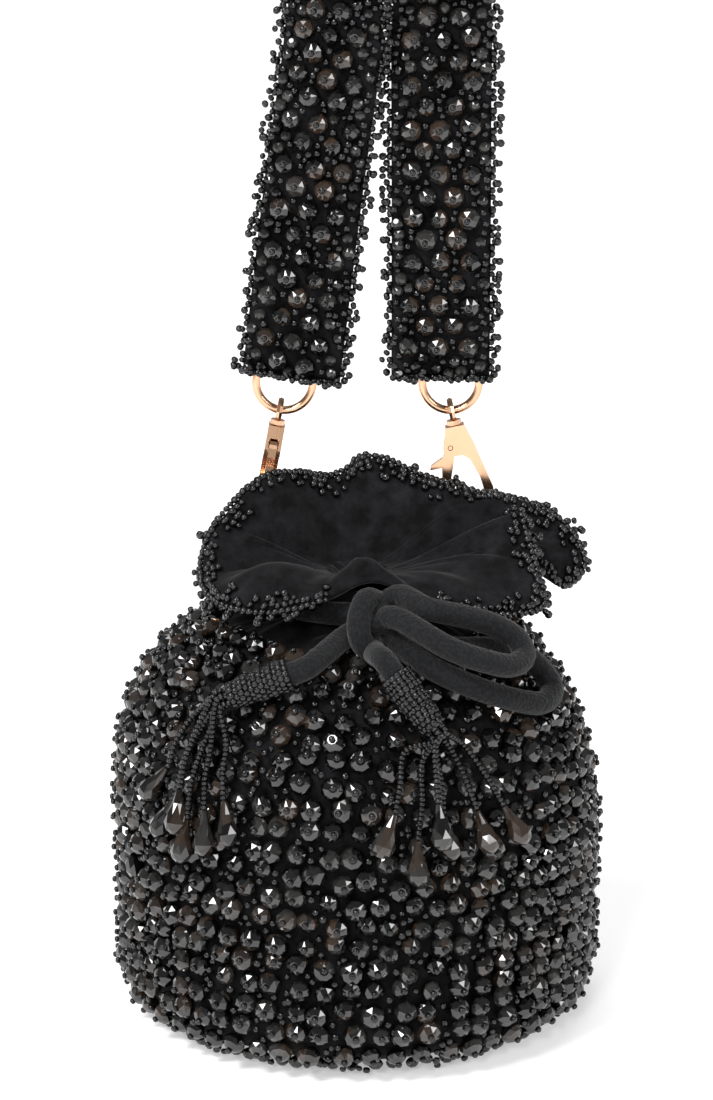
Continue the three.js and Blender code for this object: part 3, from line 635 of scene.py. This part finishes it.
RIGHT_STRANDS = [
    [(11.6, 2.34), (9.8, 2.23), (8.6, 2.15), (4.6, 2)],
    [(15.6, 2.31), (14.6, 2.18), (13.4, 2.07), (13, 1.86)],
    [(19.2, 2.32), (19.6, 2.23), (19.4, 2.15), (20.6, 2.01)],
    [(23.2, 2.34), (25.6, 2.245), (27.4, 2.16), (29.8, 2.03)],
    [(26.6, 2.355), (31, 2.255), (34.4, 2.165), (38.6, 2.05)],
    [(17.6, 2.35, 7), (16.6, 2.25, 7.6), (16.6, 2.19, 7.6), (16.8, 2.05, 7.6)],
]
FEET = {"left": (150, 210, 270, 30, 330, 90), "right": (210, 150, 270, 330, 30, 90)}
CAP_PROFILE = [(3.9, 0), (4.6, 1.6), (4, 3.2), (4.6, 5), (3.9, 7), (4.3, 9), (3.5, 11.5), (3.9, 14),
               (3.3, 16.5), (3.6, CAP_LENGTH)]
TEARDROP = lathe([(0, 0), (0.9, 0.3), (1.7, 4.2), (2.8, 7.4), (DROP_RADIUS, 10), (2.7, 12),
                  (1.3, 13.2), (0, DROP_LENGTH)], 8)


def standing(points, foot, way):
    """Points drawn round +Z from the origin, stood at foot along way."""
    return points @ frames_for(unit([way]))[0].T + foot


def build_tassel(side, cap, ways, tail):
    start, way = cap[0], unit(cap[1] - cap[0])
    end = start + way * CAP_LENGTH
    cord, length = add_cord(f"tail_{side}_cord", [KNOT + 0.2 * (tail - KNOT), tail, start - 5 * way,
                                                  start + 0.3 * way, start + TAIL_IN_CAP * way])
    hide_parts(f"tail_{side}")
    cap_piece = build_cap(side, start, way)
    across = unit(np.cross((0, 0, 1), way))
    up = unit(np.cross(way, across))
    for i, (line, degrees) in enumerate(zip(ways, FEET[side]), 1):
        a = math.radians(degrees)
        spread = STRAND_SPREAD * (across * math.cos(a) + up * math.sin(a))
        rests = [pouch(math.radians(w[0]), w[1], REST + (w[2] if len(w) > 2 else 0)) for w in line[:3]]
        points = [end - STRAND_IN_CAP * way + 0.5 * spread, end + 0.3 * way + spread,
                  end + 2.8 * way + spread, *rests]
        stop = line[3]
        tip = pouch(math.radians(stop[0]), stop[1],
                    LIFT_TOP + DROP_RADIUS + REST_GAP + (stop[2] if len(stop) > 2 else 0))
        drop = build_drop(f"{side}_{i}", points[-1], unit(tip - points[-1]))
        build_strand(f"{side}_{i}", points)


def build_cap(side, start, way):
    heights = np.arange(0.6, CAP_LENGTH, 1.55)
    places, outs = [], []
    for k, h in enumerate(heights):
        r = np.interp(h, [z for _, z in CAP_PROFILE], [r for r, _ in CAP_PROFILE])
        count = round(2 * math.pi * r / 1.75)
        a = (np.arange(count) + 0.5 * (k % 2)) * 2 * np.pi / count
        outs.append(np.stack([np.cos(a), np.sin(a), 0 * a], 1))
        places.append(np.stack([r * np.cos(a), r * np.sin(a), h + 0 * a], 1))
    core = lathe([(0, 0)] + [(r - 0.5, z) for r, z in CAP_PROFILE] + [(0, CAP_LENGTH)], 28, 0)
    beads = scatter(ROUND_SEED, np.vstack(places), leaning(np.vstack(outs), 0.3),
                    np.full(len(np.vstack(places)), SEED * 0.92))
    points, faces = merged(core, beads)
    piece = add_mesh(f"tassel_cap_{side}_beads", standing(points, start, way), faces, SEED_GLASS, "bag")
    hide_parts(f"tassel_cap_{side}")
    return piece


def build_drop(name, top, way):
    points, faces = TEARDROP
    drop = add_mesh(f"drop_{name}_glass", standing(points, top + 0.8 * way, way), faces, DROP_GLASS,
                    "bag", False)
    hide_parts(f"drop_{name}")
    return drop


def build_strand(name, points):
    path, length = even(points, 1.4)
    way = np.gradient(path, axis=0)
    strand = bead_mesh(f"strand_{name}_beads", ROUND_SEED, path, way,
                       rng.uniform(0.9, 1.05, len(path)) * STRAND, SEED_GLASS, "bag", True)
    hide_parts(f"strand_{name}")


# Strap

def strap_frames(step):
    """Middle line of the strap with the way its beaded face looks and the way across it."""
    left = [(-20, 0, (-0.1, -1)), (-13.2, 56, (-0.14, -1)), (-6.7, 105, (-0.3, -1)),
            (-6.2, 128, (-0.7, -0.7))]
    right = [(26, 128, (0.7, -0.7)), (25.4, 105, (0.05, -1)), (25.6, 56, (-0.1, -1)),
             (25.7, 0, (-0.1, -1))]
    arch = [(math.cos(math.pi - a), math.sin(a)) for a in np.linspace(0, math.pi, 7)]
    at = ([(x, STRAP_Y, STRAP_FOOT + z) for x, z, _ in left]
          + [(ARCH_X + ARCH_RADIUS * c, STRAP_Y, ARCH_Z + ARCH_RADIUS * s) for c, s in arch]
          + [(x, STRAP_Y, STRAP_FOOT + z) for x, z, _ in right])
    faces = ([(*f, 0) for *_, f in left] + [(c, 0, s) for c, s in arch] + [(*f, 0) for *_, f in right])
    t = np.linspace(0, 1, 1201)
    fine = spline(at, t)
    s = np.concatenate([[0], np.cumsum(np.linalg.norm(np.diff(fine, axis=0), axis=1))])
    where = np.interp(np.linspace(0, s[-1], round(s[-1] / step) + 1), s, t)
    line = spline(at, where)
    way = unit(np.gradient(line, axis=0))
    look = np.stack([np.interp(where * (len(at) - 1), range(len(at)), [f[k] for f in faces])
                     for k in range(3)], 1)
    look = unit(look - way * (look * way).sum(1, keepdims=True))
    return line, look, np.cross(way, look), s[-1]


def build_strap():
    line, look, across, length = strap_frames(2)
    u = np.linspace(-1, 1, 9) * STRAP_WIDTH / 2
    points = line[:, None] + across[:, None] * u[None, :, None]
    cloth = add_mesh("strap_cloth", points.reshape(-1, 3), grid_faces(len(line), len(u), wrap_columns=False),
                     VELVET, "strap")
    thicken(cloth, STRAP_CLOTH, 0)
    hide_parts("strap_band")
    beads = build_strap_beads()


def build_strap_beads():
    line, look, across, length = strap_frames(0.5)
    last = len(line) - 1

    def spot(s, u):
        i = np.clip((np.asarray(s) / length * last).round().astype(int), 0, last)
        return line[i] + across[i] * np.asarray(u)[:, None], look[i]

    field, pieces = Field(), []
    s = np.arange(4.5, length - 4, 6.7)
    rows = [(a + rng.uniform(-0.7, 0.7), b + rng.uniform(-0.8, 0.8))
            for k, a in enumerate(s) for b in ((-8.6, 0, 8.6) if k % 2 else (-4.4, 4.4))]
    sizes = rng.uniform(0.88, 1.04, len(rows)) * LARGE * 0.95
    points, ways = spot([r[0] for r in rows], [r[1] for r in rows])
    field.add(points, sizes / 2)
    lean = leaning(ways, LEAN)
    lift = 1.1 + FLAT * sizes[:, None]
    crystals = bead_mesh("strap_crystals", CRYSTAL, points + ways * lift, lean, sizes, CRYSTAL_GLASS, "strap")
    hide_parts("strap_beadwork")
    tops = points + ways * lift + lean * (FLAT * sizes[:, None] + STOP_LIFT)
    stops = bead_mesh("strap_stop_beads", ROUND_SEED, tops, lean, np.full(len(tops), SEED * 0.85),
                      SEED_GLASS, "strap", True)
    pieces += [crystals, stops]
    for name, template, size, material, tries, smooth in (
            ("strap_medium_beads", CRYSTAL, MEDIUM * 0.9, JET_GLASS, 5000, False),
            ("strap_seed_beads", ROUND_SEED, SEED, SEED_GLASS, 12000, True)):
        half = STRAP_WIDTH / 2 - size * 0.4
        candidates, facing = spot(rng.uniform(1, length - 1, tries), rng.uniform(-half, half, tries))
        kept = keep_free(field, candidates, size * ROOM)
        scale = rng.uniform(0.88, 1.08, len(kept)) * size
        height = 1.2 + FLAT * scale + rng.uniform(0, 1.8, len(kept)) * smooth
        pieces.append(bead_mesh(name, template, candidates[kept] + facing[kept] * height[:, None],
                                leaning(facing[kept], 0.25), scale, material, "strap", smooth))
    pieces.append(build_strap_edges(spot, length))
    return pieces


def build_strap_edges(spot, length):
    """Seed beads along both edges, every third one standing out, with picots and beaded ends."""
    places = []
    for sign in (-1, 1):
        s = np.arange(1, length - 1, 1.95)
        out = STRAP_WIDTH / 2 + np.where(np.arange(len(s)) % 3 == 0, 1.5, 0.5)
        at, facing = spot(s, sign * out)
        places.append(at + facing * rng.uniform(0.2, 1.2, (len(s), 1)))
        picots = rng.random(len(s)) < 0.42
        at, facing = spot(s[picots], sign * (STRAP_WIDTH / 2 + 2.6 + rng.uniform(-0.4, 0.4, picots.sum())))
        places.append(at + facing * rng.uniform(0.2, 1.8, (picots.sum(), 1)))
    for end in (0.0, length):
        u = np.arange(-STRAP_WIDTH / 2, STRAP_WIDTH / 2, 1.7)
        at, facing = spot(np.full(len(u), end), u)
        places += [at + facing * 1.8, at + facing * 3.2 + rng.normal(0, 0.5, at.shape)]
    spots = np.vstack(places)
    return bead_mesh("strap_edge_beads", ROUND_SEED, spots, unit(rng.normal(0, 1, spots.shape)),
                     rng.uniform(0.9, 1.25, len(spots)) * SEED, SEED_GLASS, "strap", True)


# Metal and small cloth loops

def rounded(obj, width, material):
    """Finishes a CAD part as it stands: edges broken, surface smooth."""
    obj.data.materials.clear()
    obj.data.materials.append(material)
    obj.data.polygons.foreach_set("use_smooth", [True] * len(obj.data.polygons))
    edge = obj.modifiers.new("edge", "BEVEL")
    edge.width, edge.segments, edge.limit_method, edge.angle_limit = width * MM, 3, "ANGLE", math.radians(40)
    obj.modifiers.new("even", "WEIGHTED_NORMAL").keep_sharp = True


def build_metal():
    for side, x in zip(("left", "right"), RING_X):
        points, faces = turned(torus(RING_RADIUS, RING_WIRE / 2), ("X", 90))
        ring = add_mesh(f"round_ring_{side}", points + (x, LINK_Y, RING_Z), faces, GOLD, "handle_links")
        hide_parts(f"strap_ring_{side}")
        for node, width in (("hook", 1.1), ("gate", 0.5), ("gate_pin", 0.15), ("swivel_eye", 0.2),
                            ("d_ring", 0.2)):
            rounded(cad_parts[f"{node}_{side}"], width, GOLD)
        for node in ("bag_tab", "strap_tab"):
            rounded(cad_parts[f"{node}_{side}"], 0.5, VELVET)


# Studio

def pale_floor():
    """Pale floor that grows brighter away from the bag, so the far floor reads as white."""
    material, tree, shader = principled("pale_floor", (0.9, 0.9, 0.9), 0.9, Specular_IOR_Level=0.1,
                                        Emission_Color=(1, 1, 1, 1))
    place = tree.nodes.new("ShaderNodeTexCoord")
    away = tree.nodes.new("ShaderNodeVectorMath")
    away.operation = "LENGTH"
    glow = tree.nodes.new("ShaderNodeMapRange")
    for key, value in (("From Min", 0.3), ("From Max", 1.4), ("To Min", 0.4), ("To Max", 0.85)):
        glow.inputs[key].default_value = value
    tree.links.new(place.outputs["Object"], away.inputs[0])
    tree.links.new(away.outputs["Value"], glow.inputs["Value"])
    tree.links.new(glow.outputs["Result"], shader.inputs["Emission Strength"])
    return material


def build_studio():
    data = bpy.data.meshes.new("floor")
    half = 9    # metres
    data.from_pydata([(-half, -half, 0), (half, -half, 0), (half, half, 0), (-half, half, 0)], [],
                     [(0, 1, 2, 3)])
    data.materials.append(pale_floor())
    floor = bpy.data.objects.new("floor", data)
    bpy.context.scene.collection.objects.link(floor)
    build_sky()
    target = Vector((0, 0, 0.15))
    lamps = (("key", (-0.8, -0.7, 1.4), 0.55, 26), ("fill", (1.1, -0.9, 0.9), 0.5, 7),
             ("top", (0.1, 0.2, 1.7), 0.7, 9), ("sparkle", (-0.3, -1.3, 0.75), 0.2, 6))
    for name, place, size, power in lamps:
        light = bpy.data.lights.new(name, "AREA")
        light.size, light.energy = size, power
        lamp = bpy.data.objects.new(name, light)
        lamp.location = place
        lamp.rotation_euler = (target - Vector(place)).to_track_quat("-Z", "Y").to_euler()
        bpy.context.scene.collection.objects.link(lamp)


def build_sky():
    """A white band at the horizon under a dim studio ceiling."""
    world = bpy.data.worlds.new("studio")
    world.use_nodes = True
    tree = world.node_tree
    place = tree.nodes.new("ShaderNodeTexCoord")
    part = tree.nodes.new("ShaderNodeSeparateXYZ")
    tree.links.new(place.outputs["Generated"], part.inputs["Vector"])
    band = ramp(tree, part.outputs["Z"], [(0.1, (1, 1, 1)), (0.22, (0.22, 0.22, 0.22))])
    tree.links.new(band, tree.nodes["Background"].inputs["Color"])
    bpy.context.scene.world = world


def build_camera():
    """The photograph's view: angles in degrees, lengths in metres."""
    field_of_view, elevation, distance = math.radians(20), math.radians(15), 0.95
    lens = bpy.data.cameras.new("camera")
    lens.sensor_fit, lens.angle = "VERTICAL", field_of_view
    camera = bpy.data.objects.new("camera", lens)
    target = Vector((0, 0, 0.144))
    camera.location = target + distance * Vector((0, -math.cos(elevation), math.sin(elevation)))
    camera.rotation_euler = (target - camera.location).to_track_quat("-Z", "Y").to_euler()
    bpy.context.scene.collection.objects.link(camera)
    bpy.context.scene.camera = camera
    bpy.context.scene.view_settings.view_transform = "Standard"


build_pouch()
build_body_beads()
build_base()
build_collar()
build_drawstring()
build_tassel("left", CAP_LEFT, LEFT_STRANDS, near_knot(-8.4, -4.5, -3))
build_tassel("right", CAP_RIGHT, RIGHT_STRANDS, near_knot(-0.5, -7.4, -6))
build_strap()
build_metal()
build_studio()
build_camera()
